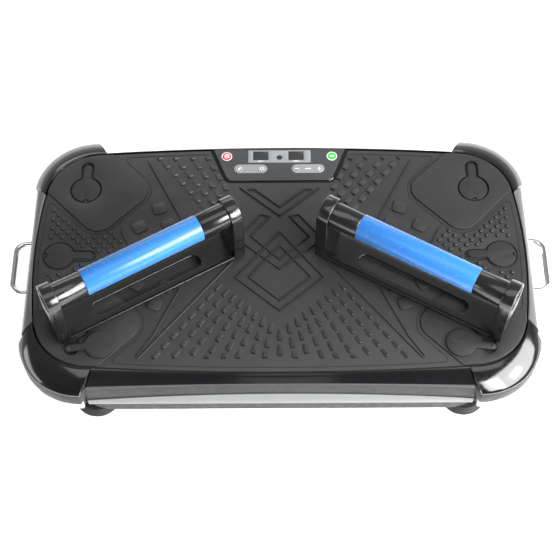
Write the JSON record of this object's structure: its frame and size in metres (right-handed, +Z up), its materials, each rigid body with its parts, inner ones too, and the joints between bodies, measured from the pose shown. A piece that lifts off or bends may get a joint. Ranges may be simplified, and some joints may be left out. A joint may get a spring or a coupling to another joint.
{
  "type": "vibration plate",
  "caption": "Low rocking exercise platform with a relief rubber mat, control panel, corner bumpers, side loops for bands and removable push-up handles.",
  "frame": {"origin": "on the floor under the centre of the deck", "axes": "+X along the long side, to the right of a person facing the front fascia from in front; +Y to the rear, towards the control panel; +Z up"},
  "size_m": [0.76, 0.412, 0.229],
  "materials": {
    "dark_shell": "black moulded plastic",
    "pale_shell": "pale moulded plastic of the bumpers' skirts",
    "dark_rubber": "dark moulded rubber",
    "bare_steel": "machined steel",
    "motor_paint": "black painted motor can",
    "circuit_board": "green laminate",
    "gloss_black": "polished black plastic",
    "grey_shell": "mid grey satin plastic",
    "silver_trim": "silver lacquered plastic",
    "mat_rubber": "charcoal textured rubber",
    "panel_grey": "grey satin membrane",
    "blue_grip": "blue soft grip sleeve",
    "chrome": "polished chrome rod",
    "red_button": "red button",
    "green_button": "green button",
    "grey_button": "light grey button"
  },
  "bodies": {
    "base": {"base_tub": "grey_shell", "foot_front_left": "dark_rubber", "foot_front_right": "dark_rubber", "foot_rear_left": "dark_rubber", "foot_rear_right": "dark_rubber", "pivot_block_front": "bare_steel", "pivot_block_rear": "bare_steel", "pivot_shaft": "bare_steel", "buffer_left": "dark_rubber", "buffer_right": "dark_rubber", "motor": "motor_paint", "crank_bracket": "bare_steel", "drive_belt": "dark_rubber", "controller_board": "circuit_board", "power_inlet": "gloss_black"},
    "crank": {"crankshaft": "bare_steel", "driven_pulley": "bare_steel"},
    "motor_pulley": {"drive_pulley": "bare_steel"},
    "rod": {"connecting_rod": "bare_steel"},
    "rocker_switch": {"power_switch": "gloss_black"},
    "deck": {"deck_plate": "dark_shell", "mat": "mat_rubber", "front_bezel": "gloss_black", "rear_bezel": "gloss_black", "front_fascia": "grey_shell", "rear_fascia": "grey_shell", "front_trim": "silver_trim", "bumper_front_left": "gloss_black", "bumper_front_right": "gloss_black", "bumper_rear_left": "gloss_black", "bumper_rear_right": "gloss_black", "side_wall_left": "silver_trim", "side_wall_right": "silver_trim", "side_loop_left": "chrome", "side_loop_right": "chrome", "control_panel": "panel_grey", "display_window": "silver_trim"},
    "power_key": {"power_button": "red_button"},
    "start_key": {"start_button": "green_button"},
    "mode_key": {"mode_button": "grey_button"},
    "timer_key": {"timer_button": "grey_button"},
    "minus_key": {"minus_button": "grey_button"},
    "plus_key": {"plus_button": "grey_button"},
    "rear_cover_left": {"socket_cover_rear_left": "mat_rubber"},
    "middle_cover_left": {"socket_cover_middle_left": "mat_rubber"},
    "front_cover_left": {"socket_cover_front_left": "mat_rubber"},
    "lock_left": {"locking_foot_left": "dark_rubber"},
    "handle_left": {"handle_frame_left": "gloss_black", "grip_tube_left": "gloss_black", "grip_sleeve_left": "blue_grip", "rest_pad_left": "dark_rubber"},
    "rear_cover_right": {"socket_cover_rear_right": "mat_rubber"},
    "middle_cover_right": {"socket_cover_middle_right": "mat_rubber"},
    "front_cover_right": {"socket_cover_front_right": "mat_rubber"},
    "lock_right": {"locking_foot_right": "dark_rubber"},
    "handle_right": {"handle_frame_right": "gloss_black", "grip_tube_right": "gloss_black", "grip_sleeve_right": "blue_grip", "rest_pad_right": "dark_rubber"}
  },
  "joints": [
    {"name": "deck_rock", "type": "hinge", "parent": "base", "child": "deck", "pos_m": [0, 0, 0.06], "axis": [0, 1, 0], "range_deg": [-1.2, 1.2], "stiffness_Nm_per_rad": 4000},
    {"name": "crank_turn", "type": "hinge", "parent": "base", "child": "crank", "pos_m": [-0.15, 0.045, 0.052], "axis": [0, 1, 0], "continuous": true},
    {"name": "motor_turn", "type": "hinge", "parent": "base", "child": "motor_pulley", "pos_m": [-0.062, 0.062, 0.05], "axis": [0, 1, 0], "continuous": true},
    {"name": "rod_pivot", "type": "hinge", "parent": "crank", "child": "rod", "pos_m": [-0.1469, 0.042, 0.052], "axis": [0, 1, 0], "continuous": true},
    {"name": "switch_rock", "type": "hinge", "parent": "base", "child": "rocker_switch", "pos_m": [0.14, 0.184, 0.0335], "axis": [1, 0, 0], "range_deg": [0, 7]},
    {"name": "power_press", "type": "slide", "parent": "deck", "child": "power_key", "axis": [0, 0, -1], "range_m": [0, 0.0007], "stiffness_N_per_m": 400},
    {"name": "start_press", "type": "slide", "parent": "deck", "child": "start_key", "axis": [0, 0, -1], "range_m": [0, 0.0007], "stiffness_N_per_m": 400},
    {"name": "mode_press", "type": "slide", "parent": "deck", "child": "mode_key", "axis": [0, 0, -1], "range_m": [0, 0.0007], "stiffness_N_per_m": 400},
    {"name": "timer_press", "type": "slide", "parent": "deck", "child": "timer_key", "axis": [0, 0, -1], "range_m": [0, 0.0007], "stiffness_N_per_m": 400},
    {"name": "minus_press", "type": "slide", "parent": "deck", "child": "minus_key", "axis": [0, 0, -1], "range_m": [0, 0.0007], "stiffness_N_per_m": 400},
    {"name": "plus_press", "type": "slide", "parent": "deck", "child": "plus_key", "axis": [0, 0, -1], "range_m": [0, 0.0007], "stiffness_N_per_m": 400},
    {"name": "rear_cover_left_lift", "type": "hinge", "parent": "deck", "child": "rear_cover_left", "pos_m": [-0.278, 0.154, 0.1192], "axis": [-1, 0, 0], "range_deg": [0, 100]},
    {"name": "middle_cover_left_lift", "type": "hinge", "parent": "deck", "child": "middle_cover_left", "pos_m": [-0.261, 0, 0.1192], "axis": [0, 1, 0], "range_deg": [0, 100]},
    {"name": "front_cover_left_swing", "type": "hinge", "parent": "deck", "child": "front_cover_left", "pos_m": [-0.283, -0.146, 0.118], "axis": [0, 0, 1], "range_deg": [-14, 8]},
    {"name": "handle_left_lift", "type": "slide", "parent": "deck", "child": "lock_left", "axis": [0, 0, 1], "range_m": [0, 0.06]},
    {"name": "handle_left_swivel", "type": "hinge", "parent": "lock_left", "child": "handle_left", "pos_m": [-0.279, -0.108, 0.12], "axis": [0, 0, 1], "range_deg": [-28, 26]},
    {"name": "rear_cover_right_lift", "type": "hinge", "parent": "deck", "child": "rear_cover_right", "pos_m": [0.278, 0.154, 0.1192], "axis": [-1, 0, 0], "range_deg": [0, 100]},
    {"name": "middle_cover_right_lift", "type": "hinge", "parent": "deck", "child": "middle_cover_right", "pos_m": [0.261, 0, 0.1192], "axis": [0, -1, 0], "range_deg": [0, 100]},
    {"name": "front_cover_right_swing", "type": "hinge", "parent": "deck", "child": "front_cover_right", "pos_m": [0.283, -0.146, 0.118], "axis": [0, 0, -1], "range_deg": [-14, 8]},
    {"name": "handle_right_lift", "type": "slide", "parent": "deck", "child": "lock_right", "axis": [0, 0, 1], "range_m": [0, 0.06]},
    {"name": "handle_right_swivel", "type": "hinge", "parent": "lock_right", "child": "handle_right", "pos_m": [0.279, -0.108, 0.12], "axis": [0, 0, -1], "range_deg": [-28, 26]}
  ],
  "couplings": [
    {"joint": "motor_turn", "follows": "crank_turn", "ratio": 3},
    {"joint": "rod_pivot", "follows": "crank_turn", "ratio": -1}
  ]
}
